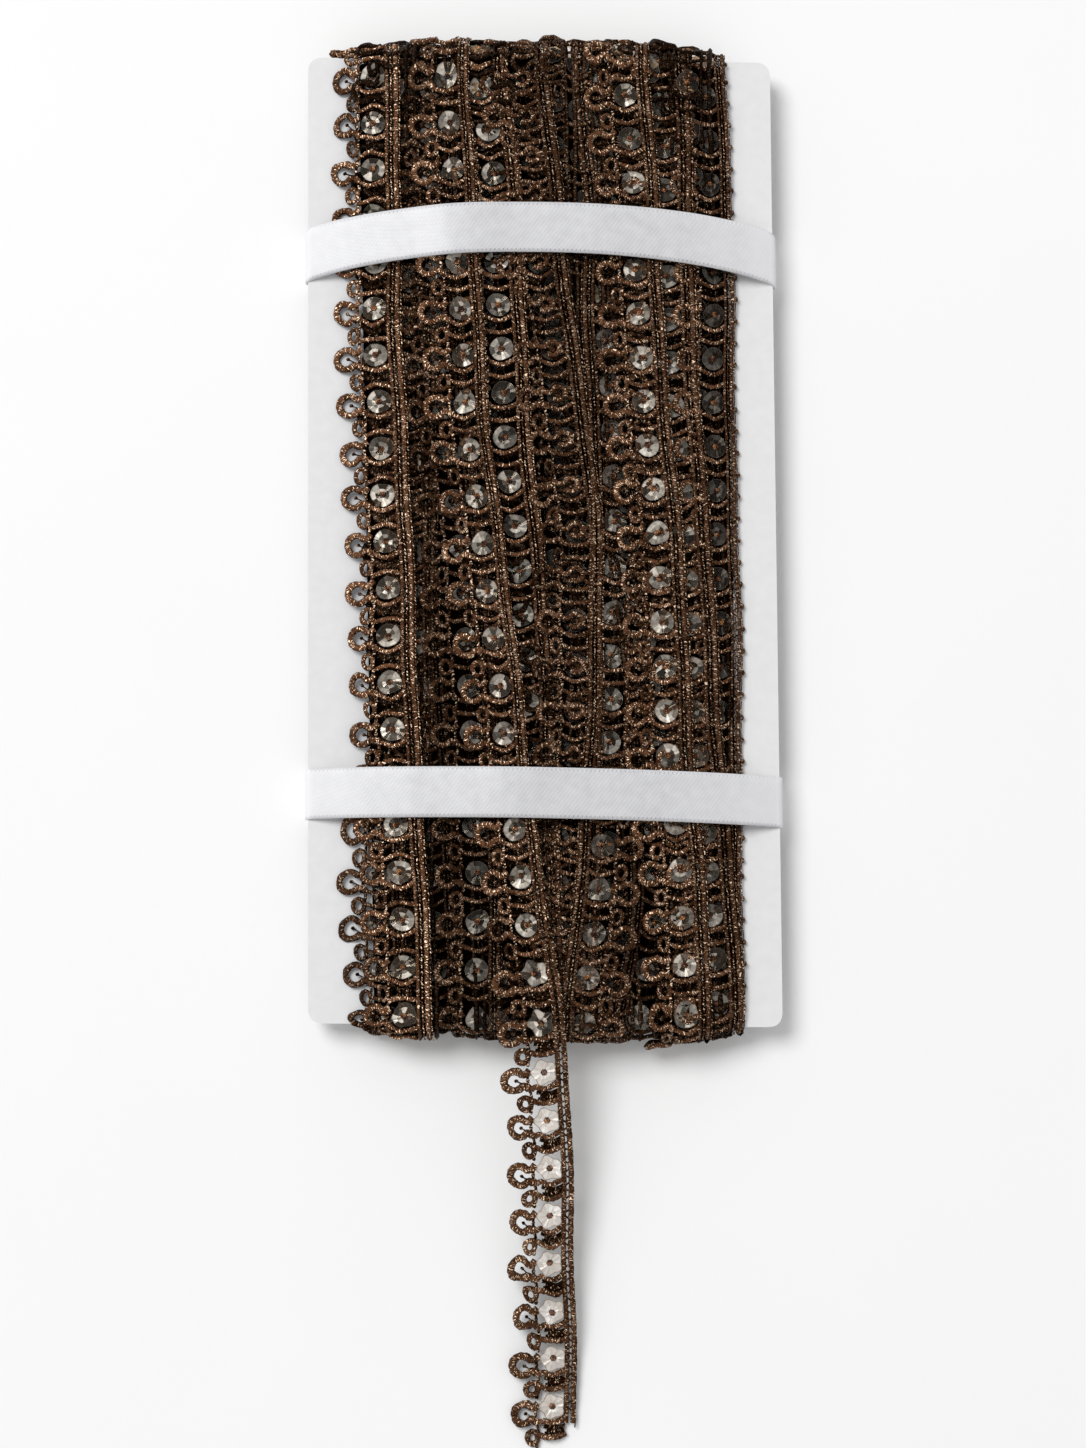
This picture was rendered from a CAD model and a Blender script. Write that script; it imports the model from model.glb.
"""Sequin trim wound lengthwise round a flat card, held by two satin bands, with its last turn left loose.

The trim is a gimp braid: a heading of twisted cords, a scalloped edge of corded loops, cross bars and a
row of clear sequins. Its unit is built once, flat, and is then carried along each turn round the card.
Lengths in the classes are millimetres. X is across the card, +Y its upper end and +Z up.
"""

import logging
import math
from dataclasses import dataclass
from enum import Enum

import bpy
import numpy as np
from mathutils import Matrix, Vector


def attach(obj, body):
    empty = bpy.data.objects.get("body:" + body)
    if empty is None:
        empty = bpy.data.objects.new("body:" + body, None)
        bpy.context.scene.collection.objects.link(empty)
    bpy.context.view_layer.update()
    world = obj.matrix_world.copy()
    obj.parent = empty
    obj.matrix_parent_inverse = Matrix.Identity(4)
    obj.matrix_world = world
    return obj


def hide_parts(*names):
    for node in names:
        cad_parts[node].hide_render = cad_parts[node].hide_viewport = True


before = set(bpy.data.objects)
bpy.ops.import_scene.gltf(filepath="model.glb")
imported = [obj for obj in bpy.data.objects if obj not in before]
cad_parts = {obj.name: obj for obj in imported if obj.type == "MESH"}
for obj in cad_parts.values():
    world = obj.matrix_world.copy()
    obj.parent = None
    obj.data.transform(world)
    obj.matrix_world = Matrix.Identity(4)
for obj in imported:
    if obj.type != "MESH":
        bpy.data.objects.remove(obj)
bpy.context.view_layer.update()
MM = 0.001
TABLE_GAP = 0.03
LOG = logging.getLogger("sequin_trim")

Node = bpy.types.Node
Socket = bpy.types.NodeSocket
Tree = bpy.types.NodeTree
Material = bpy.types.Material
Object = bpy.types.Object
Point = tuple[float, float, float]
Pairs = tuple[tuple[float, float], ...]


def linear(colour: str) -> tuple[float, float, float, float]:
    """Turns an sRGB hex colour to a linear one.

    Args:
        colour: Six hex digits after a hash mark.

    Returns:
        Linear red, green and blue, and an alpha of 1.
    """
    parts = [int(colour[i : i + 2], 16) / 255 for i in (1, 3, 5)]
    values = [p / 12.92 if p <= 0.04045 else ((p + 0.055) / 1.055) ** 2.4 for p in parts]
    return (*values, 1.0)


def noise_scale(size: float) -> float:
    """Returns a noise texture's scale from its pattern's size in millimetres."""
    return 1 / (size * MM)


def add_node(tree: Tree, kind: str, inputs: dict | None = None, **settings: object) -> Node:
    """Adds a node with its settings, values and links.

    Args:
        tree: The node tree that the node goes into.
        kind: The node's type name, without the word ShaderNode before it.
        inputs: Socket names or numbers, each with a value, an output, or a node whose first output feeds it.
        settings: The node's own properties.

    Returns:
        The new node.
    """
    node = tree.nodes.new(f"ShaderNode{kind}")
    for name, value in settings.items():
        setattr(node, name, value)
    for key, value in (inputs or {}).items():
        source = value.outputs[0] if isinstance(value, Node) else value
        if isinstance(source, Socket):
            tree.links.new(source, node.inputs[key])
        else:
            node.inputs[key].default_value = source
    return node


def blank_material(name: str) -> tuple[Material, Tree]:
    """Makes a material with an empty node tree.

    Args:
        name: The material's name.

    Returns:
        The material and its tree.
    """
    material = bpy.data.materials.new(name)
    material.use_nodes = True
    material.node_tree.nodes.clear()
    return material, material.node_tree


def finish_material(tree: Tree, shader: Node) -> None:
    """Links a shader to a new material output.

    Args:
        tree: The material's tree.
        shader: The shader node.
    """
    add_node(tree, "OutputMaterial", {"Surface": shader})


def set_ramp(node: Node, stops: list[tuple[float, str]]) -> None:
    """Sets a colour ramp's stops.

    Args:
        node: The ramp's node.
        stops: Each stop's place and sRGB colour, in order.
    """
    elements = node.color_ramp.elements
    elements[0].position, elements[1].position = stops[0][0], stops[-1][0]
    elements[0].color, elements[1].color = linear(stops[0][1]), linear(stops[-1][1])
    for place, colour in stops[1:-1]:
        elements.new(place).color = linear(colour)


@dataclass(frozen=True)
class GimpCord:
    """Viscose yarn wrapped or plied into cord: dark, with a small bright speck on the crest of each wrap."""

    name: str
    wrap_pitch: float
    wrap_starts: float
    speck_share: float
    groove: float
    shadow: str = "#060201"
    body: str = "#5f402c"
    crest: str = "#fbdcbc"
    lustre: str = "#d08a50"
    depth: float = 0.07
    fibre_pitch: float = 0.27
    crowding_size: float = 1.25
    dye_size: float = 4.348
    fleck_size: float = 0.5263

    def material(self) -> Material:
        """Makes the cord's material, whose wraps run in a helix along the cord's own places."""
        material, tree = blank_material(self.name)
        places = add_node(tree, "UVMap", uv_map="cord")
        split = add_node(tree, "SeparateXYZ", {0: places})
        spot = add_node(tree, "TexCoord").outputs["Object"]
        # The wraps are pushed together and apart as the cord bends.
        coarse = {"Vector": spot, "Scale": noise_scale(self.crowding_size), "Detail": 1.0}
        crowding = add_node(tree, "TexNoise", coarse)
        pushed = add_node(tree, "MapRange", {"Value": crowding, 1: 0.3, 2: 0.7, 3: -0.4, 4: 0.4})
        along = add_node(tree, "Math", {0: split, 1: pushed})
        wrap = self.helix(tree, along, split.outputs[1], 1 / self.wrap_pitch, self.wrap_starts)
        fibre = self.helix(tree, along, split.outputs[1], 1 / self.fibre_pitch, 1.0)
        fibres = add_node(tree, "MapRange", {"Value": fibre, 3: 0.8})
        grooved = add_node(tree, "MapRange", {"Value": wrap, 2: 0.8, 3: self.groove})
        # Batches of yarn take the dye unevenly over a few millimetres.
        patches = add_node(tree, "TexNoise", {"Vector": spot, "Scale": noise_scale(self.dye_size)})
        patch = add_node(tree, "MapRange", {"Value": patches, 1: 0.3, 2: 0.7, 3: 0.75, 4: 1.15})
        # Each wrap lies a little askew, so only some of their crests catch the light.
        fine = {"Vector": spot, "Scale": noise_scale(self.fleck_size), "Detail": 3.0}
        flecks = add_node(tree, "TexNoise", fine)
        fleck = add_node(tree, "MapRange", {"Value": flecks, 1: 0.52, 2: 0.66, 4: 2.6})
        frayed = add_node(tree, "MapRange", {"Value": fibre, 1: 0.2, 2: 0.9, 3: 0.2})
        yarn, specks = grooved, add_node(tree, "Math", {0: wrap, 1: 4.0}, operation="POWER")
        for dye, speck in ((fibres, fleck), (patch, frayed)):
            yarn = add_node(tree, "Math", {0: yarn, 1: dye}, operation="MULTIPLY")
            specks = add_node(tree, "Math", {0: specks, 1: speck}, operation="MULTIPLY")
        level = {0: specks, 1: self.speck_share, 2: yarn}
        tone = add_node(tree, "Math", level, operation="MULTIPLY_ADD")
        halved = add_node(tree, "MapRange", {"Value": tone, 2: 2.0})
        ramp = add_node(tree, "ValToRGB", {0: halved})
        set_ramp(ramp, [(0.2, self.shadow), (0.5, self.body), (0.7, self.crest)])
        # Yarn that lies low in the pack is seen in the shade of the turns over it.
        lit = add_node(tree, "Attribute", attribute_name="lit").outputs["Fac"]
        shaded = add_node(tree, "HueSaturation", {"Value": lit, "Color": ramp})
        raised = add_node(tree, "Math", {0: wrap, 1: fibres}, operation="MULTIPLY")
        relief = {"Height": raised, "Strength": 1.0, "Distance": self.depth * MM}
        surface = {
            "Base Color": shaded,
            "Normal": add_node(tree, "Bump", relief),
            "Roughness": 0.5,
            "Specular IOR Level": 0.12,
            "Specular Tint": linear(self.lustre),
        }
        finish_material(tree, add_node(tree, "BsdfPrincipled", surface))
        return material

    def helix(self, tree: Tree, along: Node, around: Socket, waves: float, starts: float) -> Node:
        """Draws a wave that runs round the cord as it goes along it.

        Args:
            tree: The material's tree.
            along: The node with the length along the cord in millimetres.
            around: The output with the turn round the cord, from 0 to 1.
            waves: Waves for each millimetre.
            starts: How many waves lie side by side round the cord.

        Returns:
            The node with the wave, from 0 to 1.
        """
        full = 2 * math.pi
        run = add_node(tree, "Math", {0: along, 1: waves * full}, operation="MULTIPLY")
        angle = {0: around, 1: starts * full, 2: run}
        turn = add_node(tree, "Math", angle, operation="MULTIPLY_ADD")
        wave = add_node(tree, "Math", {0: turn}, operation="SINE")
        return add_node(tree, "Math", {0: wave, 1: 0.5, 2: 0.5}, operation="MULTIPLY_ADD")


@dataclass(frozen=True)
class ClearFilm:
    """Punched polyester film pressed into facets: clear over dark cords, with bright facets and a rim."""

    name: str = "clear_polyester_film"
    milk: str = "#e9e0d2"
    outline: str = "#b5aaa0"
    rim: float = 0.07
    facets: float = 7.0
    clear: float = 0.012
    bright: float = 0.95
    tint: str = "#e4d4bf"
    glint: str = "#e2cfb4"
    streak_size: float = 1.111
    rim_from: float = 1.86
    ior: float = 1.5

    def material(self) -> Material:
        """Makes the film's material, each facet of its own strength."""
        material, tree = blank_material(self.name)
        places = add_node(tree, "UVMap", uv_map="cord")
        split = add_node(tree, "SeparateXYZ", {0: places})
        turned = add_node(tree, "Math", {0: split, 1: self.facets}, operation="MULTIPLY")
        facet = add_node(tree, "Math", {0: turned}, operation="FLOOR")
        row = add_node(tree, "Math", {0: split.outputs[1]}, operation="FLOOR")
        key = add_node(tree, "CombineXYZ", {0: facet, 1: row})
        chance = add_node(tree, "TexWhiteNoise", {"Vector": key}, noise_dimensions="2D")
        strong = add_node(tree, "Math", {0: chance, 1: 3.0}, operation="POWER")
        spot = add_node(tree, "TexCoord").outputs["Object"]
        streaks = {"Vector": spot, "Scale": noise_scale(self.streak_size), "Detail": 3.0}
        streak = add_node(tree, "TexNoise", streaks)
        uneven = add_node(tree, "MapRange", {"Value": streak, 1: 0.4, 2: 0.6, 3: 0.7, 4: 1.25})
        facets = add_node(tree, "Math", {0: strong, 1: uneven}, operation="MULTIPLY")
        lit = add_node(tree, "Attribute", attribute_name="lit").outputs["Fac"]
        strength = add_node(tree, "Math", {0: facets, 1: lit}, operation="MULTIPLY")
        cover = add_node(tree, "MapRange", {"Value": strength, 3: self.clear, 4: self.bright})
        edge = {0: split.outputs[1], 1: self.rim_from}
        rim = add_node(tree, "Math", edge, operation="GREATER_THAN")
        edged = add_node(tree, "Math", {0: rim, 1: self.rim, 2: cover}, operation="MULTIPLY_ADD")
        clear = add_node(tree, "BsdfTransparent", {"Color": linear(self.tint)})
        tones = {0: rim, 6: linear(self.milk), 7: linear(self.outline)}
        tone = add_node(tree, "Mix", tones, data_type="RGBA").outputs[2]
        cloudy = {"Base Color": tone, "Roughness": 0.25, "Specular IOR Level": 0.6}
        milk = add_node(tree, "BsdfPrincipled", cloudy)
        body = add_node(tree, "MixShader", {0: edged, 1: clear, 2: milk})
        gloss = add_node(tree, "BsdfGlossy", {"Color": linear(self.glint), "Roughness": 0.12})
        mirror = add_node(tree, "Fresnel", {"IOR": self.ior})
        glance = add_node(tree, "Math", {0: mirror, 1: lit}, operation="MULTIPLY")
        finish_material(tree, add_node(tree, "MixShader", {0: glance, 1: body, 2: gloss}))
        return material


@dataclass(frozen=True)
class CopperBead:
    """A seed bead with a copper lining: a dark ring with a warm glint in the middle of each sequin."""

    name: str = "copper_lined_bead"
    glint_size: float = 0.7692

    def material(self) -> Material:
        """Makes the bead's material."""
        material, tree = blank_material(self.name)
        spot = add_node(tree, "TexCoord").outputs["Object"]
        noise = add_node(tree, "TexNoise", {"Vector": spot, "Scale": noise_scale(self.glint_size)})
        ramp = add_node(tree, "ValToRGB", {0: noise})
        set_ramp(ramp, [(0.38, "#1c0c05"), (0.52, "#6b3d20"), (0.66, "#b9824f")])
        surface = {"Base Color": ramp, "Roughness": 0.22, "Metallic": 0.3}
        finish_material(tree, add_node(tree, "BsdfPrincipled", surface))
        return material


@dataclass(frozen=True)
class SatinWeave:
    """Woven polyester satin ribbon: long floats on a slant give a soft sheen, with a stitched selvage.

    The floats of a real satin are too fine to show, so their pitch is drawn some three times as coarse.
    """

    name: str = "polyester_satin_ribbon"
    colour: str = "#e6e6e8"
    shade: str = "#bcbcc1"
    hole: str = "#9d9da0"
    sheen: str = "#f6f6f9"
    float_pitch: float = 0.8
    stitch_pitch: float = 0.85
    selvage: float = 0.5
    width: float = 10.0
    slub_size: float = 2.0
    depth: float = 0.04

    def material(self) -> Material:
        """Makes the ribbon's material from its width and length in millimetres."""
        material, tree = blank_material(self.name)
        places = add_node(tree, "UVMap", uv_map="cord")
        run, width = add_node(tree, "SeparateXYZ", {0: places}).outputs[0:2]
        floats = self.wave(tree, run, width, self.float_pitch, 0.75)
        rows = self.wave(tree, run, width, self.float_pitch * 0.7, -1.6)
        weave = add_node(tree, "Math", {0: floats, 1: rows}, operation="MULTIPLY")
        stitch = self.wave(tree, run, width, self.stitch_pitch, 0.0)
        middle = add_node(tree, "Math", {0: width, 1: self.width / 2}, operation="SUBTRACT")
        away = add_node(tree, "Math", {0: middle}, operation="ABSOLUTE")
        line = {0: away, 1: self.width / 2 - self.selvage, 2: 0.16}
        seam = add_node(tree, "Math", line, operation="COMPARE")
        hole = add_node(tree, "Math", {0: stitch, 1: 0.55}, operation="GREATER_THAN")
        dots = add_node(tree, "Math", {0: seam, 1: hole}, operation="MULTIPLY")
        spot = add_node(tree, "TexCoord").outputs["Object"]
        worn = {"Vector": spot, "Scale": noise_scale(self.slub_size), "Detail": 3.0}
        slub = add_node(tree, "TexNoise", worn)
        tone = add_node(tree, "MapRange", {"Value": slub, 1: 0.3, 2: 0.7, 3: 0.4, 4: 0.6})
        for pattern, share in ((floats, 0.08), (weave, 0.26), (dots, -0.4)):
            tone = add_node(tree, "Math", {0: pattern, 1: share, 2: tone}, operation="MULTIPLY_ADD")
        ramp = add_node(tree, "ValToRGB", {0: tone})
        set_ramp(ramp, [(0.0, self.hole), (0.12, self.shade), (0.88, self.colour)])
        # The floats catch the light where the ribbon slopes down to the sides of the card.
        normal = add_node(tree, "NewGeometry").outputs["Normal"]
        slope = add_node(tree, "SeparateXYZ", {0: normal})
        steep = add_node(tree, "Math", {0: slope}, operation="ABSOLUTE")
        shine = add_node(tree, "MapRange", {"Value": steep, 1: 0.1, 2: 0.5, 4: 0.9})
        bright = {0: shine, 6: ramp, 7: linear(self.sheen)}
        height = add_node(tree, "Math", {0: dots, 1: -2.0, 2: weave}, operation="MULTIPLY_ADD")
        relief = {"Height": height, "Strength": 0.3, "Distance": self.depth * MM}
        surface = {
            "Base Color": add_node(tree, "Mix", bright, data_type="RGBA").outputs[2],
            "Normal": add_node(tree, "Bump", relief),
            "Roughness": 0.42,
            "Specular IOR Level": 0.7,
        }
        finish_material(tree, add_node(tree, "BsdfPrincipled", surface))
        return material

    def wave(self, tree: Tree, run: Socket, width: Socket, pitch: float, slant: float) -> Node:
        """Draws even waves along the ribbon.

        Args:
            tree: The material's tree.
            run: The output with the length along the ribbon.
            width: The output with the place across it.
            pitch: The waves' pitch in millimetres.
            slant: How far the waves run along for each millimetre across.

        Returns:
            The node with the wave, from -1 to 1.
        """
        slanted = add_node(tree, "Math", {0: width, 1: slant, 2: run}, operation="MULTIPLY_ADD")
        turned = add_node(tree, "Math", {0: slanted, 1: 2 * math.pi / pitch}, operation="MULTIPLY")
        return add_node(tree, "Math", {0: turned}, operation="SINE")


@dataclass(frozen=True)
class MattSurface:
    """A matt surface with a faint mottle of fibre: bleached card, studio paper or the dark inner turns."""

    name: str
    colour: str
    mottle: str
    fibre_size: float = 2.381
    roughness: float = 0.7
    gloss: float = 0.3

    def material(self) -> Material:
        """Makes the surface's material."""
        material, tree = blank_material(self.name)
        spot = add_node(tree, "TexCoord").outputs["Object"]
        fibres = {"Vector": spot, "Scale": noise_scale(self.fibre_size), "Detail": 5.0}
        fibre = add_node(tree, "TexNoise", fibres)
        ramp = add_node(tree, "ValToRGB", {0: fibre})
        set_ramp(ramp, [(0.3, self.mottle), (0.7, self.colour)])
        surface = {"Base Color": ramp, "Roughness": self.roughness, "Specular IOR Level": self.gloss}
        finish_material(tree, add_node(tree, "BsdfPrincipled", surface))
        return material


class Yarn(Enum):
    """The kinds of cord in the braid, in the order of a turn's materials."""

    SPUN = 0
    PLIED = 1
    THREAD = 2


class Finishes:
    """The part's materials, each made once."""

    def __init__(self) -> None:
        """Makes the materials."""
        gimp = GimpCord("viscose_wrapped_gimp", 0.42, 1.0, 0.9, 0.6)
        plied = GimpCord("viscose_plied_cord", 0.7, 1.0, 4.5, 0.3)
        thread = GimpCord("viscose_thread", 0.6, 1.0, 0.4, 0.5, body="#27150a")
        self.yarns = [yarn.material() for yarn in (gimp, plied, thread)]
        self.film = ClearFilm().material()
        bare = ClearFilm("clear_film_over_white", "#f3efeb", "#8d7d70", 0.6, clear=0.5, bright=1.0)
        self.film_loose = bare.material()
        self.bead = CopperBead().material()
        self.satin = SatinWeave().material()
        self.card = MattSurface("bleached_card", "#eae9ea", "#e5e4e5").material()
        self.inner = MattSurface("viscose_inner_turns", "#120804", "#050201", 1.111, gloss=0.0).material()
        self.paper = MattSurface("studio_paper", "#fcfcfc", "#fbfbfb", 50.0, 0.9).material()


@dataclass
class Shape:
    """A piece of mesh: corners, their light, and four-sided faces with texture places and materials."""

    points: np.ndarray
    faces: np.ndarray
    places: np.ndarray
    slots: np.ndarray
    lit: np.ndarray

    @staticmethod
    def joined(shapes: list["Shape"]) -> "Shape":
        """Joins shapes into one, each with its own corners.

        Args:
            shapes: The shapes.

        Returns:
            One shape that holds them all.
        """
        starts = np.cumsum([0] + [len(s.points) for s in shapes[:-1]])
        return Shape(
            np.concatenate([s.points for s in shapes]),
            np.concatenate([s.faces + start for s, start in zip(shapes, starts)]),
            np.concatenate([s.places for s in shapes]),
            np.concatenate([s.slots for s in shapes]),
            np.concatenate([s.lit for s in shapes]),
        )

    def moved(self, points: np.ndarray, lit: np.ndarray) -> "Shape":
        """Returns the same faces on other corners, in another light."""
        return Shape(points, self.faces, self.places, self.slots, lit)

    def of(self, yarn: Yarn) -> "Shape":
        """Returns the same shape in a kind of yarn."""
        return Shape(self.points, self.faces, self.places, np.full(len(self.faces), yarn.value), self.lit)

    def repeated(self, points: np.ndarray, shifts: np.ndarray) -> "Shape":
        """Repeats the shape's faces over several sets of corners.

        Args:
            points: Corners of each copy, one copy to a row.
            shifts: How far each copy's texture places are moved along.

        Returns:
            One shape of all the copies.
        """
        count, corners = points.shape[0], points.shape[1]
        faces = self.faces[None] + (np.arange(count) * corners)[:, None, None]
        places = np.repeat(self.places[None], count, axis=0)
        places[..., 0] += shifts[:, None, None]
        slots, lit = np.tile(self.slots, count), np.tile(self.lit, count)
        return Shape(points.reshape(-1, 3), faces.reshape(-1, 4), places.reshape(-1, 4, 2), slots, lit)


def link_object(name: str, data: bpy.types.ID) -> Object:
    """Makes a Blender object of its data and puts it into the scene."""
    thing = bpy.data.objects.new(name, data)
    bpy.context.scene.collection.objects.link(thing)
    return thing


def add_object(name: str, shape: Shape, materials: list[Material], smooth: bool = True) -> Object:
    """Makes a Blender object from a shape in millimetres.

    Args:
        name: The object's name.
        shape: The shape.
        materials: Its materials.
        smooth: Whether its faces are shaded smooth.

    Returns:
        The object, which rides on the part's one body.
    """
    mesh = bpy.data.meshes.new(name)
    points = shape.points.copy()
    points[:, 2] = np.maximum(points[:, 2], TABLE_GAP)
    mesh.vertices.add(len(points))
    mesh.vertices.foreach_set("co", (points * MM).astype(np.float32).ravel())
    mesh.loops.add(shape.faces.size)
    mesh.loops.foreach_set("vertex_index", shape.faces.astype(np.int32).ravel())
    mesh.polygons.add(len(shape.faces))
    mesh.polygons.foreach_set("loop_start", np.arange(0, shape.faces.size, 4, dtype=np.int32))
    mesh.polygons.foreach_set("use_smooth", np.full(len(shape.faces), smooth))
    layer = mesh.uv_layers.new(name="cord")
    layer.data.foreach_set("uv", shape.places.astype(np.float32).ravel())
    mesh.update(calc_edges=True)
    for material in materials:
        mesh.materials.append(material)
    slots = np.minimum(shape.slots, len(materials) - 1).astype(np.int32)
    mesh.polygons.foreach_set("material_index", slots)
    light = mesh.attributes.new("lit", "FLOAT", "POINT")
    light.data.foreach_set("value", shape.lit.astype(np.float32))
    piece = link_object(name, mesh)
    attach(piece, "root")
    return piece


def run_along(line: np.ndarray) -> np.ndarray:
    """Returns the length along a line at each of its points."""
    return np.concatenate([[0], np.cumsum(np.linalg.norm(np.diff(line, axis=0), axis=1))])


def directions(line: np.ndarray, closed: bool = False) -> np.ndarray:
    """Finds which way a line goes.

    Args:
        line: The line's points.
        closed: Whether its last point is its first.

    Returns:
        The unit direction at each point.
    """
    way = np.gradient(line, axis=0)
    if closed:
        way[0] = way[-1] = line[1] - line[-2]
    return way / np.linalg.norm(way, axis=1)[:, None]


def arc(centre: Point, radii: tuple[float, float], angles: np.ndarray) -> list[Point]:
    """Places points round an ellipse.

    Args:
        centre: Its middle, whose height they all have.
        radii: Its radius across and along.
        angles: The points' angles in radians.

    Returns:
        The points.
    """
    across, along, up = centre
    return [(across + radii[0] * math.cos(a), along + radii[1] * math.sin(a), up) for a in angles]


def smooth_line(points: list[Point], step: float, closed: bool = False) -> np.ndarray:
    """Draws a smooth line through a few points.

    Args:
        points: The points.
        step: The distance between the line's stations.
        closed: Whether the line comes back to its start.

    Returns:
        The stations, evenly spaced.
    """
    nodes = np.array(points, float)
    if closed:
        padded = np.vstack([nodes[-1], nodes, nodes[0], nodes[1]])
    else:
        padded = np.vstack([2 * nodes[0] - nodes[1], nodes, 2 * nodes[-1] - nodes[-2]])
    parts = []
    t = np.linspace(0, 1, 12, endpoint=False)[:, None]
    for a, b, c, d in zip(padded, padded[1:], padded[2:], padded[3:]):
        curve = (2 * a - 5 * b + 4 * c - d) * t**2 + (3 * b - 3 * c + d - a) * t**3
        parts.append(0.5 * (2 * b + (c - a) * t + curve))
    fine = np.vstack([*parts, padded[-2][None]])
    run = run_along(fine)
    count = max(3, int(round(run[-1] / step)) + 1)
    even = np.linspace(0, run[-1], count)
    return np.stack([np.interp(even, run, fine[:, k]) for k in range(3)], axis=1)


def grid_shape(rows: np.ndarray, run: np.ndarray, across: np.ndarray, wrapped: bool) -> Shape:
    """Makes faces over a grid of points.

    Args:
        rows: The points, as stations by points across.
        run: The texture place of each station.
        across: The texture place of each point across, with one more than the points if wrapped.
        wrapped: Whether each row closes on itself.

    Returns:
        The shape.
    """
    stations, count = rows.shape[:2]
    columns = count if wrapped else count - 1
    i, j = np.meshgrid(np.arange(stations - 1), np.arange(columns), indexing="ij")
    k = (j + 1) % count
    faces = np.stack([i * count + j, i * count + k, (i + 1) * count + k, (i + 1) * count + j], axis=-1)
    corners = [(i, j), (i, j + 1), (i + 1, j + 1), (i + 1, j)]
    places = np.stack([np.stack([run[a], across[b]], axis=-1) for a, b in corners], axis=-2)
    faces = faces.reshape(-1, 4)
    points = rows.reshape(-1, 3)
    return Shape(points, faces, places.reshape(-1, 4, 2), np.zeros(len(faces), int), np.ones(len(points)))


def ball(centre: Point, radius: Point, sides: int = 6, rings: int = 4) -> Shape:
    """Draws a rounded blob.

    Args:
        centre: Its middle.
        radius: Its radius across, along and up.
        sides: Faces round it.
        rings: Faces from its lowest to its highest point.

    Returns:
        The shape.
    """
    # The blob stops just short of its poles, so that its faces keep four sides.
    pole = math.pi / 2 * 0.96
    tilt = np.linspace(-pole, pole, rings + 1)
    angle = np.linspace(0, 2 * math.pi, sides, endpoint=False)
    rows = np.stack(
        [
            np.cos(tilt)[:, None] * np.cos(angle) * radius[0] + centre[0],
            np.cos(tilt)[:, None] * np.sin(angle) * radius[1] + centre[1],
            np.repeat(np.sin(tilt)[:, None], sides, axis=1) * radius[2] + centre[2],
        ],
        axis=-1,
    )
    return grid_shape(rows[:, ::-1], tilt, np.arange(sides + 1) / sides, wrapped=True)


@dataclass(frozen=True)
class Cord:
    """How a cord is drawn: its radius, its plies' bumps and how finely it is cut into faces."""

    radius: float
    sides: int = 6
    step: float = 0.38
    lobe: float = 0.13
    bump_pitch: float = 0.95

    def along(self, points: list[Point], closed: bool = False) -> Shape:
        """Draws the cord along a line.

        Args:
            points: A few points of the line, as across, along and up.
            closed: Whether the cord is an endless ring.

        Returns:
            The cord's shape, its texture places being length in millimetres and turn round the cord.
        """
        line = smooth_line(points, self.step, closed)
        tangent = directions(line, closed)
        side = np.cross(tangent, [0.0, 0.0, 1.0])
        side /= np.maximum(np.linalg.norm(side, axis=1), 1e-6)[:, None]
        top = np.cross(side, tangent)
        run = run_along(line)
        angle = np.linspace(0, 2 * math.pi, self.sides, endpoint=False)
        turn = angle[None] - (math.pi * run / self.bump_pitch)[:, None]
        # Its thickness wanders by up to a tenth along it, cords of each radius in their own way.
        uneven = 1 + 0.06 * np.sin(run * 2.3 + self.radius * 50) + 0.04 * np.sin(run * 5.1)
        radius = self.radius * (1 + self.lobe * np.cos(2 * turn)) * uneven[:, None]
        rings = (
            line[:, None]
            + side[:, None] * (np.cos(angle) * radius)[..., None]
            + top[:, None] * (np.sin(angle) * radius)[..., None]
        )
        return grid_shape(rings, run, np.arange(self.sides + 1) / self.sides, wrapped=True)


class Detail(Enum):
    """How a turn is cut into faces: sides of a cord, sides of a thread and the distance between stations."""

    FINE = (6, 3, 0.38)
    HALF = (5, 3, 0.62)
    PLAIN = (4, 3, 1.0)


class Bow(Enum):
    """Which way the bar over a sequin bends: the way of the bar under it, or over the sequin."""

    SMILE = 0.8
    FROWN = -0.7


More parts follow.
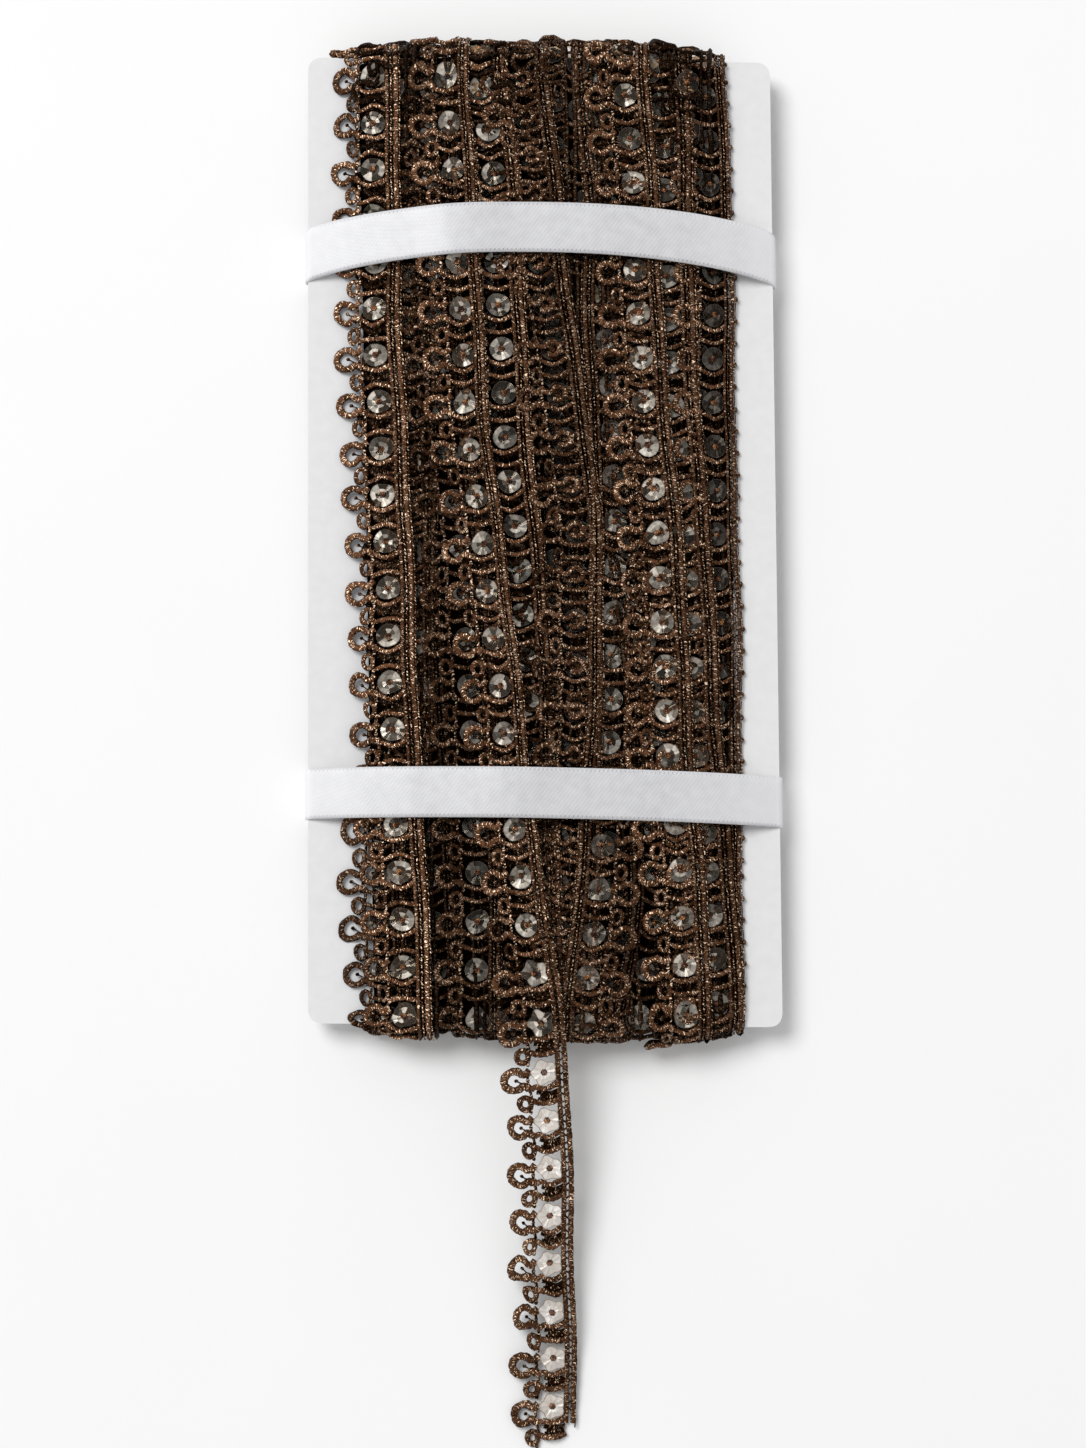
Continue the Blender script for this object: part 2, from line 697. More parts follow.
@dataclass(frozen=True)
class BraidUnit:
    """One repeat of the braid, flat: across is positive towards the loops, down is along the turn.

    Massed fills the space between the bars, knotted puts knots on the heading's edge, and tangled lays a
    curl of the turn beneath over the sequin.
    """

    pitch: float = 9.3
    heading_gap: float = 3.6
    heading_cords: Pairs = ((-2.65, 0.34), (-4.3, 0.48))
    edge_cords: Pairs = ((-3.45, 0.17), (-5.0, 0.15))
    spine: float = 3.15
    ring_across: float = 5.75
    ring_down: float = 0.4
    ring_radius: float = 1.95
    ring_cord: float = 0.68
    small_across: float = 4.1
    small_down: float = 5.1
    small_half: tuple[float, float] = (1.0, 1.35)
    small_cord: float = 0.48
    bar_cord: float = 0.44
    bar_down: float = 3.25
    over_down: float = 5.75
    over_bow: Bow = Bow.SMILE
    massed: bool = False
    knotted: bool = False
    tangled: bool = False
    sequin_radius: float = 2.36
    sequin_lift: float = -0.2
    notch: float = 0.015

    def cord(self, radius: float, detail: Detail, lobe: float = 0.08) -> Cord:
        """Returns a cord of a radius at a level of detail."""
        thick, thin, step = detail.value
        return Cord(radius, thick if radius > 0.3 else thin, step if radius > 0.25 else step * 1.4, lobe)

    def loops(self, detail: Detail) -> list[Shape]:
        """Draws the big loop with its leg and bar, and the small loop with its own.

        Args:
            detail: How finely they are cut.

        Returns:
            The shapes, in across, down and up.
        """
        across, down, radius = self.ring_across, self.ring_down, self.ring_radius
        ring = arc((across, down, 0.1), (-radius, -radius), np.radians([*range(36, 289, 36), 322]))
        start = [(self.spine - 0.4, down - 1.9, 0.0), (self.spine + 0.35, down - 1.25, 0.1)]
        leg = [(self.spine + 0.4, down + 1.3, 0.2), (self.spine - 0.5, down + 1.9, 0.25)]
        low = self.bar_down
        bar = [(1.7, low - 0.5, 0.4), (0.3, low, 0.4), (-1.2, low - 0.3, 0.4), (-2.7, low - 1.2, 0.0)]
        big = self.cord(self.ring_cord, detail).along([*start, *ring, *leg])
        under_bar = self.cord(self.bar_cord, detail, 0.13).along([leg[-1], *bar])
        oval = arc((self.small_across, self.small_down, 0.0), self.small_half, np.radians(range(0, 360, 45)))
        small = self.cord(self.small_cord, detail).along(oval, closed=True)
        over, bow = self.over_down, self.over_bow.value
        bent = [(self.spine - 0.1, over - 1.2 * bow, 0.0), (1.6, over - 0.45 * bow, 0.3), (0.1, over, 0.35)]
        bent += [(-1.4, over - 0.35 * bow, 0.3), (-2.7, over - 1.1 * bow, -0.1)]
        over_bar = self.cord(self.bar_cord, detail, 0.13).along(bent)
        parts = [big, under_bar, small, over_bar]
        if self.tangled:
            # The loop of a turn beneath curls up over the sequin.
            curl = arc((0.1, 0.1, 0.35), (1.45, 1.35), np.radians(range(40, 341, 60)))
            parts.append(self.cord(0.52, detail).along([*curl, (self.spine, -0.7, 0.2)]))
            hook = [(-2.5, 1.6, 0.0), (-1.2, 0.4, 0.3), (-2.4, -1.0, 0.0)]
            parts.append(self.cord(0.36, detail).along(hook))
        return [shape.of(Yarn.SPUN) for shape in parts]

    def threads(self, detail: Detail) -> list[Shape]:
        """Draws the hooked tail in the big loop, the spine's chain and the netting between the bars.

        Args:
            detail: How finely they are cut.

        Returns:
            The shapes.
        """
        across, down, low, spine = self.ring_across, self.ring_down, self.small_down, self.spine
        chain = self.cord(0.31, detail, 0.2)
        links = [
            [(spine, down - 1.8, 0.0), (spine + 0.1, down, 0.1), (spine, down + 1.6, 0.1)],
            [(spine, down + 1.5, 0.1), (spine - 0.4, low - 1.6, 0.0), (spine, low, 0.0)],
            [(spine, low, 0.0), (spine - 0.2, low + 1.6, 0.1), (spine, self.pitch - 1.4, 0.0)],
        ]
        parts = [chain.along(link).of(Yarn.PLIED) for link in links]
        if detail is Detail.PLAIN:
            return parts
        thin = self.cord(0.17, detail, 0.0)
        tail = [(spine + 0.2, down + 1.1, 0.3), (4.5, down + 0.55, 0.25), (across - 0.5, down + 0.15, 0.2)]
        threads = [
            thin.along(tail),
            ball((across - 0.35, down, 0.2), (0.44, 0.4, 0.36)),
            thin.along([(1.3, self.bar_down, 0.2), (0.6, 4.3, 0.0), (1.1, self.over_down, 0.2)]),
            thin.along([(-0.7, self.bar_down, 0.2), (-0.2, 4.5, 0.0), (-1.1, self.over_down, 0.2)]),
            ball((spine + 0.3, down + 1.9, 0.1), (0.55, 0.5, 0.45)),
        ]
        if self.knotted:
            parts += [ball((-5.2, place, 0.1), (0.5, 0.6, 0.5)) for place in (1.2, 5.6)]
        if self.massed:
            # Three thick cords fill the space between the bars.
            middle = (self.bar_down + self.over_down) / 2
            bunch = (
                (0.42, ((-2.5, -0.9, -0.1), (-0.7, -0.45, 0.0), (1.7, -0.8, -0.1))),
                (0.46, ((-2.4, -0.2, -0.1), (-0.9, 0.25, 0.1), (1.0, -0.1, -0.1))),
                (0.4, ((-2.4, 0.5, -0.2), (-0.8, 0.9, -0.1), (1.5, 0.6, -0.2))),
            )
            for size, points in bunch:
                threads.append(self.cord(size, detail).along([(x, middle + y, z) for x, y, z in points]))
        return [*parts, *[shape.of(Yarn.THREAD) for shape in threads]]

    def sequin(self) -> Shape:
        """Draws one sequin pressed into five petals, hollow in its middle."""
        sides = 20 if self.notch < 0.05 else 30
        angle = np.linspace(0, 2 * math.pi, sides, endpoint=False)
        petal = np.cos(angle * 5)
        fold = np.where(np.arange(sides) % (sides // 10) == 0, 0.5, -0.5)
        rows = []
        for share, radius, height in ((0.0, 0.4, 0.0), (0.55, 1.35, 0.12), (1.0, self.sequin_radius, 0.3)):
            size = radius * (1 + self.notch * share * (petal - 1))
            lift = self.sequin_lift + height + 0.3 * share * fold * (1 - 0.4 * share)
            rows.append(np.stack([np.cos(angle) * size, np.sin(angle) * size, lift], axis=-1))
        around = np.arange(sides + 1) / sides
        shape = grid_shape(np.array(rows)[:, ::-1], np.arange(3.0), around, wrapped=True)
        return Shape(shape.points, shape.faces, shape.places[..., ::-1], shape.slots, shape.lit)

    def bead(self) -> Shape:
        """Draws the bead that holds a sequin, with its ring of thread."""
        lift = self.sequin_lift + 0.14
        ring = arc((0.0, 0.0, lift), (0.5, 0.5), np.arange(0, 6.2, 1.05))
        loop = Cord(0.2, 3, 0.5, 0.0).along(ring, closed=True)
        return Shape.joined([ball((0, 0, lift + 0.05), (0.34, 0.34, 0.24)), loop])


@dataclass(frozen=True)
class PackSurface:
    """The unrolled surface that the turns lie on: across the card, along the way round it, and out."""

    straight: float = 93.2
    end_run: float = 21.0
    card_top: float = 6.8
    card_under: float = 5.0
    crown_edge: float = 8.3
    crown_rise: float = 5.2
    crown_half: float = 42.0
    crown_power: float = 2.6
    centre: float = 0.5
    corners: Pairs = ((-46.8, 97.4), (46.1, 96.0), (47.1, -97.3), (-46.6, -96.2))
    reach: tuple[float, float] = (4.1, 1.8)
    bands: tuple[float, float] = (60.0, -51.5)
    band_reach: float = 8.0
    band_press: float = 0.5
    thinnest: float = 0.65
    back_gap: tuple[float, float] = (0.8, 4.2)
    back_rise: float = 1.4
    rim_from: float = 31.0
    rim_run: float = 11.0

    @property
    def round_run(self) -> float:
        """The whole way round the card."""
        return 4 * self.straight + 2 * self.end_run

    def crown(self, x: np.ndarray) -> np.ndarray:
        """Height of the top turns at a place across the card."""
        share = np.minimum(1, np.abs(x - self.centre) / self.crown_half)
        return self.crown_edge + self.crown_rise * (1 - share**self.crown_power)

    def card_end(self, x: np.ndarray, upper: bool) -> np.ndarray:
        """How far the card's upper or lower end lies from its middle, at a place across it."""
        first, second = (self.corners[0], self.corners[1]) if upper else (self.corners[3], self.corners[2])
        share = (x - first[0]) / (second[0] - first[0])
        return np.abs(first[1] + (second[1] - first[1]) * share)

    def place(self, x: np.ndarray, run: np.ndarray, height: np.ndarray, up: np.ndarray) -> np.ndarray:
        """Carries unrolled points onto the pack.

        Args:
            x: Place across the card.
            run: Place along the way round, 0 at the middle of the front and rising to the upper end.
            height: The turn's own height over the crown.
            up: The point's height in the turn.

        Returns:
            The points in millimetres.
        """
        long, bend = self.straight, self.end_run
        run = (run + long + bend) % self.round_run - long - bend
        upper = (run > long) & (run <= long + bend)
        back = run > long + bend
        lower = run < -long
        # The turn goes half round over each end: 0 is on the front and 1 behind the card.
        half_round = np.select([upper, back, lower], [(run - long) / bend, 1.0, (-long - run) / bend], 0.0)
        turn = half_round * math.pi
        middle = (self.card_top + self.card_under) / 2
        dip = sum(np.exp(-(((run - band) / self.band_reach) ** 2)) for band in self.bands) * self.band_press
        top = np.maximum(self.crown(x) + height - dip, self.card_top + self.thinnest) + up
        rim = np.maximum(0, np.abs(x) - self.rim_from) / self.rim_run
        low, high = self.back_gap
        under = np.clip(low + self.back_rise * rim**2 - 0.8 * height, low, high) - up
        level = np.cos(turn)
        z = np.where(level >= 0, middle + (top - middle) * level, middle + (middle - under) * level)
        edge = np.minimum(1, np.abs(x - self.centre) / self.crown_half) ** 4
        out = self.reach[0] + (self.reach[1] - self.reach[0]) * edge + 0.9 * height + up
        swing = np.abs(np.sin(turn)) ** 0.75
        y_upper = long + (self.card_end(x, True) - long + out) * swing
        y_lower = -long - (self.card_end(x, False) - long + out) * swing
        y = np.select([upper, back, lower], [y_upper, 2 * long + bend - run, y_lower], run)
        return np.stack([x, y, z], axis=-1)


@dataclass(frozen=True)
class LooseSurface:
    """Where the last turn leaves the pack: out over its end and slowly down to the table."""

    pack: PackSurface
    leaves: float = -80.4
    joins: float = 18.0
    start: Pairs = ((-80.4, 14.45), (-87, 14.5), (-95, 14.3), (-103, 13.3), (-112, 11.7), (-122, 9.6))
    end: Pairs = ((-132, 7.5), (-142, 5.6), (-152, 3.9), (-161, 2.4), (-169, 1.25), (-178.2, 0.7))

    def place(self, x: np.ndarray, run: np.ndarray, height: np.ndarray, up: np.ndarray) -> np.ndarray:
        """Carries unrolled points onto the pack's front and then down the loose end.

        Args:
            x: Place across the card.
            run: Place along the turn, falling towards its loose end.
            height: The turn's own height over the crown.
            up: The point's height in the turn.

        Returns:
            The points in millimetres.
        """
        on_pack = self.pack.place(x, np.maximum(run, self.leaves), height, up)
        line = smooth_line([(0.0, y, z) for y, z in (*self.start, *self.end)], 0.5)
        gone, way = run_along(line), directions(line)
        past = np.maximum(0, self.leaves - run)
        y, z, way_y, way_z = [np.interp(past, gone, c) for c in (*line.T[1:], *way.T[1:])]
        y -= np.maximum(0, past - gone[-1])
        # Its height fades from the turn's own to the loose end's.
        lean = (self.pack.crown(x) + height - self.start[0][1]) * np.clip(1 - past / self.joins, 0, 1)
        off_pack = np.stack([x, y + way_z * up, z + lean - way_y * up], axis=-1)
        return np.where((run < self.leaves)[:, None], off_pack, on_pack)


@dataclass
class Turn:
    """One turn of the braid round the card, from its line of sequins.

    The line gives x against the way round, the marks a sequin's number and place, and the levels the
    turn's height over the crown, each at a few places.
    """

    name: str
    line: Pairs
    marks: Pairs
    levels: Pairs
    mirrored: bool = False
    gap: float = 3.6
    detail: Detail = Detail.FINE
    shade: float = 1.0
    sparkle: float = 1.0
    start: float = -103.0
    stop: float = 103.0
    cut: tuple[float, float] | None = None
    stiff: float = 2.6
    stray: float = 0.2
    bare_past: float = -101.0
    dimmest: float = 0.02
    brightest: float = 1.5
    seed: int = 1
    stands_for: str = ""
    surface: PackSurface | LooseSurface = PackSurface()
    pack: PackSurface = PackSurface()
    unit: BraidUnit = BraidUnit()

    def x_at(self, run: np.ndarray) -> np.ndarray:
        """Finds where the sequin line lies.

        Args:
            run: Places along the way round.

        Returns:
            The line's place across the card at each of them.
        """
        long = self.pack.straight
        behind = self.pack.round_run - 2 * long
        places, across = np.array(self.line, float).T
        front = sum(np.interp(run + shift, places, across) for shift in (-6, -3, 0, 3, 6)) / 5
        share = np.clip((run - long) / behind, 0, 1)
        ease = share * share * (3 - 2 * share)
        top, bottom = np.interp(long, places, across), np.interp(-long, places, across)
        return np.where(run > long, top + (bottom - top) * ease, front)

    def marks_between(self) -> np.ndarray:
        """Finds the sequins' places along the turn.

        Returns:
            The places, from the turn's upper to its lower end.
        """
        counts, places = np.array(self.marks, float).T
        front = np.interp(np.arange(0, counts[-1] + 1), counts, places)
        above = front[0] + self.unit.pitch * np.arange(1, 50)
        below = front[-1] - self.unit.pitch * np.arange(1, 50)
        every = np.concatenate([above[::-1], front, below])
        return every[(every <= self.stop) & (every >= self.start)]

    def heights(self, run: np.ndarray) -> np.ndarray:
        """Finds the turn's height over the crown, which wanders a little along it.

        Args:
            run: Places along the way round.

        Returns:
            The height at each of them.
        """
        phases = np.random.default_rng(self.seed).uniform(0, 2 * math.pi, 3)
        wander = sum(np.sin(run / size + phase) for size, phase in zip((7.0, 13.0, 29.0), phases)) / 3
        places, levels = np.array(self.levels, float).T
        return np.interp(run, places, levels) + 0.2 * wander

    def carry(self, points: np.ndarray) -> np.ndarray:
        """Carries points of the flat braid onto the pack.

        Args:
            points: Across the braid, along the way round, and up.

        Returns:
            The points in millimetres.
        """
        phases = np.random.default_rng(self.seed + 50).uniform(0, 2 * math.pi, 4)
        run = points[:, 1]
        sway = 0.18 * np.sin(run / 5.3 + phases[0]) + 0.16 * np.sin(run / 11.7 + phases[1])
        slope = (self.x_at(run + 1) - self.x_at(run - 1)) / 2
        size = np.sqrt(1 + slope**2)
        side = 1.0 if self.mirrored else -1.0
        flat = points[:, 0]
        across = np.where(flat < 0, flat * self.gap / self.unit.heading_gap, flat) + sway
        x = self.x_at(run) + side * across / size
        along = run - side * slope * across / size
        ripple = 0.12 * np.sin(run / 1.9 + across + phases[2])
        ripple += 0.1 * np.sin(across * 1.7 + run / 3.1 + phases[3])
        return self.surface.place(x, along, self.heights(run), points[:, 2] + ripple)

    def light(self, points: np.ndarray) -> np.ndarray:
        """The share of light that points of the flat braid get: less on the undersides of the cords."""
        return self.shade * np.clip(0.42 + 1.4 * points[:, 2], self.dimmest, self.brightest)

    def repeats(self, shape: Shape, tilt: float) -> Shape:
        """Repeats a shape at each sequin of the turn, no two quite alike.

        Args:
            shape: The shape, as across, down and up.
            tilt: How far the shape leans, in radians.

        Returns:
            All the copies, carried onto the pack.
        """
        rng = np.random.default_rng(self.seed + len(shape.points))
        marks = self.marks_between()
        one = (len(marks), 1)
        points = np.repeat(shape.points[None], len(marks), axis=0)
        # The loops past the spine are free to stray, while the heading holds the rest.
        free = np.clip((points[..., 0] - self.stiff) / 2.5, 0, 1)
        points = points + rng.normal(0, self.stray, (*one, 3)) * free[..., None]
        grow = np.where(points[..., 0] > self.stiff, 1 + rng.normal(0, 0.05, one) * free, 1)
        points[..., 0] = self.stiff + (points[..., 0] - self.stiff) * grow
        points[..., 1] += rng.normal(0, 0.12, one) * np.sin(points[..., 0] * 1.3 + rng.uniform(0, 6, one))
        lean = rng.normal(0, tilt, (*one, 2))
        points[..., 2] += points[..., 0] * lean[..., 0] + points[..., 1] * lean[..., 1]
        points[..., 1] = marks[:, None] - points[..., 1]
        whole = shape.repeated(points, rng.integers(0, 90, len(marks)).astype(float))
        return whole.moved(self.carry(whole.points), self.light(whole.points))

    def heading(self) -> Shape:
        """Draws the heading's cords and the thread that zigzags between them."""
        high, low = self.cut or (self.stop + 0.5, self.start - 0.5)
        parts = []
        for across, radius in self.unit.heading_cords:
            line = [(across, run, 0.05) for run in np.arange(high, low, -3.0)]
            parts.append(self.unit.cord(radius, self.detail).along(line).of(Yarn.SPUN))
        if self.detail is not Detail.PLAIN:
            for across, radius in self.unit.edge_cords:
                runs = np.arange(high, low, -1.9)
                line = [(across + 0.12 * (i % 2), run, 0.28) for i, run in enumerate(runs)]
                parts.append(self.unit.cord(radius, self.detail, 0.0).along(line).of(Yarn.PLIED))
            runs = np.arange(high - 0.4, low + 4.0, -self.unit.pitch / 7)
            inner, outer = self.unit.heading_cords[0][0], self.unit.heading_cords[1][0]
            zigzag = [(inner if i % 2 else outer, run, 0.1) for i, run in enumerate(runs)]
            radius, yarn = (0.24, Yarn.SPUN) if self.unit.massed else (0.19, Yarn.THREAD)
            parts.append(Cord(radius, 3, 0.65, 0.0).along(zigzag).of(yarn))
        shape = Shape.joined(parts)
        return shape.moved(self.carry(shape.points), self.light(shape.points))

    def build(self, finishes: Finishes) -> list[Object]:
        """Builds the turn's cords, its sequins and their beads.

        Args:
            finishes: The part's materials.

        Returns:
            The three objects.
        """
        unit = Shape.joined([*self.unit.loops(self.detail), *self.unit.threads(self.detail)])
        cords = Shape.joined([self.heading(), self.repeats(unit, 0.0)])
        braid = add_object(f"{self.name}_braid", cords, finishes.yarns)
        cups = self.repeats(self.unit.sequin(), 0.07)
        cups.lit[:] = self.sparkle
        if self.unit.massed:
            # Past the pack's end the film lies over the white table, not over dark cords.
            cups.slots[:] = cups.points[cups.faces[:, 0], 1] < self.bare_past
        films = [finishes.film, finishes.film_loose]
        sequins = add_object(f"{self.name}_sequins", cups, films, smooth=False)
        if self.stands_for:
            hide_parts(*[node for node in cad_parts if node.startswith(self.stands_for)])
        beads = add_object(f"{self.name}_beads", self.repeats(self.unit.bead(), 0.0), [finishes.bead])
        LOG.info("%s: %d repeats, %d faces", self.name, len(self.marks_between()), len(cords.faces))
        return [braid, sequins, beads]


@dataclass
class InnerTurns:
    """The turns that lie too deep to be made out, as one dark lumpy body round the card."""

    depth: float = -3.9
    left: tuple[float, float] = (-36.5, -33.5)
    right: tuple[float, float] = (36.9, 38.6)
    columns: int = 64
    stations: int = 200
    pack: PackSurface = PackSurface()

    def build(self, finishes: Finishes) -> Object:
        """Builds the body, which stands for the wound solid of the frame.

        Args:
            finishes: The part's materials.

        Returns:
            The object.
        """
        long, whole = self.pack.straight, self.pack.round_run
        run = np.linspace(-long, whole - long, self.stations)
        share = np.linspace(0, 1, self.columns)
        # 0 at the upper end and 1 at the lower one, on both sides of the card.
        down = np.where(run > long, (run - long) / (whole - 2 * long), (long - run) / (2 * long))
        left = self.left[0] + (self.left[1] - self.left[0]) * down
        right = self.right[0] + (self.right[1] - self.right[0]) * down
        x = left[:, None] + (right - left)[:, None] * share
        runs = np.repeat(run[:, None], self.columns, axis=1)
        lumps = 0.25 * np.sin(runs * 1.35 + 3 * np.sin(x * 0.9)) * np.sin(x * 1.9 + np.sin(runs * 0.4))
        height = np.full_like(x, self.depth)
        points = self.pack.place(x.ravel(), runs.ravel(), height.ravel(), lumps.ravel())
        rows = points.reshape(self.stations, self.columns, 3)
        shape = grid_shape(rows[:, ::-1], run, share * 80, wrapped=False)
        piece = add_object("inner_turns", shape, [finishes.inner])
        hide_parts("winding")
        LOG.info("inner turns: %d faces", len(shape.faces))
        return piece


@dataclass
class SatinBand:
    """A satin ribbon that goes right round card and turns."""

    name: str
    node: str
    left: float
    right: float
    arch: float
    side_half: float
    sides: tuple[float, float]
    over_at: float
    width: float = 10.0
    thickness: float = 0.4
    flat: float = 42.5
    lift: float = 0.55
    over: float = 1.0
    over_half: float = 8.5
    reach: float = 48.1
    front_from: float = 5.9
    front_fade: float = 1.5
    columns: int = 14
    pack: PackSurface = PackSurface()

    def route(self) -> np.ndarray:
        """Draws the band's middle line round the pack, as across and up, from under its left side."""
        left, right = self.sides
        points = [(-self.flat, 0.3), (-20, 0.25), (0, 0.25), (20, 0.25), (self.flat, 0.3)]
        side = ((-1.0, 3.4), (0.1, 5.0), (0.2, 5.9), (0.0, 6.8), (-0.9, 7.3))
        points += [(right + out, z) for out, z in side]
        for x in np.arange(41, -42, -3.0):
            # The slanting turn lifts the band where it crosses under it.
            bump = self.over * math.exp(-(((x - self.over_at) / self.over_half) ** 2))
            points.append((x, float(self.pack.crown(np.array(x))) + self.lift + bump))
        points += [(left - out, z) for out, z in side[::-1]]
        return smooth_line([(x, 0.0, z) for x, z in points], 0.9, closed=True)

    def build(self, finishes: Finishes) -> Object:
        """Builds the band as a thin closed ring of ribbon.

        Args:
            finishes: The part's materials.

        Returns:
            The object.
        """
        line = self.route()
        tangent = directions(line, closed=True)
        out = np.stack([tangent[:, 2], np.zeros(len(line)), -tangent[:, 0]], axis=-1)[:, None]
        run = run_along(line)
        x, z = line[:, 0], line[:, 2]
        share = np.clip((x / self.reach + 1) / 2, 0, 1)
        bow = np.maximum(0, 1 - (x / self.reach) ** 2)
        front = np.clip((z - self.front_from) / self.front_fade, 0, 1)
        middle = self.left + (self.right - self.left) * share + self.arch * front * bow**0.75
        half = self.width / 2 + (self.side_half - self.width / 2) * front * (1 - bow)
        across = np.linspace(-1, 1, self.columns)
        rows = []
        for level, order in ((0.5, across), (-0.5, across[::-1])):
            y = middle[:, None] + half[:, None] * order
            ripple = 0.07 * np.sin(x[:, None] / 2.3 + order * 0.9) * np.sin(x[:, None] / 5.9 + self.over_at)
            ripple = (ripple - 0.12 * np.abs(order) ** 6) * front[:, None]
            offset = level * self.thickness + ripple
            row = [x[:, None] + out[..., 0] * offset, y, z[:, None] + out[..., 2] * offset]
            rows.append(np.stack(row, axis=-1))
        width = np.concatenate([(across + 1) * self.width / 2, (across[::-1] + 1) * self.width / 2, [0.0]])
        shape = grid_shape(np.concatenate(rows, axis=1), run, width, wrapped=True)
        piece = add_object(self.name, shape, [finishes.satin])
        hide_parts(self.node)
        LOG.info("%s: %.0f mm of ribbon, %d faces", self.name, run[-1], len(shape.faces))
        return piece


@dataclass
class WoundTrim:
    """The braid as it is wound: every turn that shows, the last of them running on as the loose end."""

    pack: PackSurface = PackSurface()
    loose_width: float = 13.8
    loose_length: float = 99.0

    def left_turns(self) -> list[Turn]:
        """Lists the turns on the left of the card."""
        return [
            Turn(
                "turn_left_under",
                ((-99, -30.4), (-77, -32.2), (-58, -33.0), (-45, -28.0), (-38, -26.0), (95, -26.0)),
                ((0, 88.0), (16, -58.5), (20, -95.0)),
                ((-60, -2.0), (-45, -3.0)),
                detail=Detail.HALF,
                shade=0.75,
                sparkle=0.5,
            ),
            Turn(
                "turn_left",
                (
                    *((-94.5, -27.2), (-77, -28.2), (-58, -29.0), (-20, -30.5)),
                    *((16, -32.1), (44.5, -33.3), (92.6, -34.0)),
                ),
                ((0, 92.6), (20, -94.5)),
                ((0, -1.1),),
                gap=4.0,
                shade=1.7,
                sparkle=1.15,
                unit=BraidUnit(over_bow=Bow.FROWN, over_down=6.0),
            ),
            Turn(
                "turn_left_inner",
                ((-95.6, -21.0), (-40, -23.3), (7, -26.5), (47, -28.0), (95.8, -27.3)),
                ((0, 90.0), (20, -95.0)),
                ((0, -2.9),),
                detail=Detail.HALF,
                shade=0.25,
                sparkle=0.2,
            ),
            Turn(
                "turn_middle_deep",
                (
                    *((-95.6, -13.2), (-66, -13.2), (-35, -14.2), (7, -17.2)),
                    *((30, -19.8), (60, -21.5), (95.8, -22.0)),
                ),
                ((0, 90.0), (17, -66.7), (20, -95.3)),
                ((0, -1.9),),
                shade=0.55,
                sparkle=0.45,
            ),
            Turn(
                "turn_middle",
                (
                    *((-95.6, -0.8), (-7, -4.6), (7, -6.2), (27, -7.6)),
                    *((49, -8.9), (75, -9.6), (87, -11.0), (99, -13.4)),
                ),
                ((0, 90.0), (5, 46.0), (11, -7.0), (21, -95.0)),
                ((-30, -3.2), (-10, -2.8), (5, -1.6), (20, -1.3)),
                gap=3.9,
                shade=1.3,
                sparkle=0.85,
            ),
        ]

    def middle_turns(self) -> list[Turn]:
        """Lists the turns in the middle of the card, two of them with their loops to the right."""
        return [
            Turn(
                "turn_centre",
                (
                    *((-95, 5.0), (-41, 6.2), (-17, 6.8), (1, 6.7), (37, 1.9)),
                    *((55, -0.2), (68, -1.0), (84, -2.9), (97, -4.5)),
                ),
                ((0, 91.6), (3, 68.3), (5, 54.8), (7, 37.2), (11, 0.9), (14, -25.9), (22, -97.0)),
                ((-60, -2.8), (-40, -1.6), (10, -1.3)),
                gap=4.0,
                stray=0.6,
                shade=0.85,
                sparkle=0.08,
                unit=BraidUnit(sequin_lift=-1.3, tangled=True),
            ),
            Turn(
                "turn_turned",
                (
                    *((-97.5, 7.4), (-81, 9.9), (-63, 11.4), (-41, 12.8), (-15, 14.2)),
                    *((11, 14.4), (39, 12.7), (67, 13.6), (95, 10.8)),
                ),
                ((0, 93.2), (12, -15.4), (15, -41.1), (17, -61.5), (21, -96.0)),
                ((-60, -1.1), (-20, -1.7), (35, -1.7), (50, -2.6), (80, -2.2), (95, -0.9)),
                mirrored=True,
                gap=3.5,
                shade=0.85,
                sparkle=0.4,
                unit=BraidUnit(sequin_lift=-0.7),
            ),
            Turn(
                "turn_turned_under",
                ((-94.7, 18.7), (-88, 20.1), (-72, 22.5), (-41, 21.9), (-21, 20.3), (-5, 17.4), (95, 15.9)),
                ((0, 90.0), (20, -95.0)),
                ((-60, -1.8), (0, -2.5)),
                mirrored=True,
                detail=Detail.HALF,
                shade=0.3,
                sparkle=0.4,
            ),
        ]

    def right_turns(self) -> list[Turn]:
        """Lists the turns on the right of the card."""
        return [
            Turn(
                "turn_right_edge",
                (
                    *((-95, 34.9), (-66, 35.3), (-44, 35.3), (-17, 35.2)),
                    *((9, 34.8), (36, 34.4), (70, 34.0), (95, 33.0)),
                ),
                ((0, 97.2), (16, -43.6), (19, -66.3), (22, -92.0)),
                ((-60, -2.6), (0, -2.0)),
                gap=3.0,
                sparkle=0.12,
                unit=BraidUnit(knotted=True),
            ),
            Turn(
                "turn_right_inner",
                (
                    *((-92, 33.7), (-66, 32.0), (-35, 29.6), (-8, 28.2)),
                    *((17.5, 26.4), (44, 25.0), (70, 24.3), (95, 23.9)),
                ),
                ((0, 95.4), (16, -43.7), (19, -66.5), (22, -92.5)),
                ((0, -1.5),),
                gap=4.2,
                sparkle=0.5,
            ),
            Turn(
                "turn_right",
                (
                    *((-94, 27.8), (-75, 27.3), (-44, 24.8), (-26, 24.1), (-8, 23.2)),
                    *((17, 21.0), (44, 19.2), (70, 18.1), (97, 16.3)),
                ),
                ((0, 96.8), (16, -43.7), (18, -57.1), (22, -94.3)),
                ((0, -0.6),),
                gap=3.7,
                shade=1.2,
                stands_for="sequin_right",
            ),
        ]

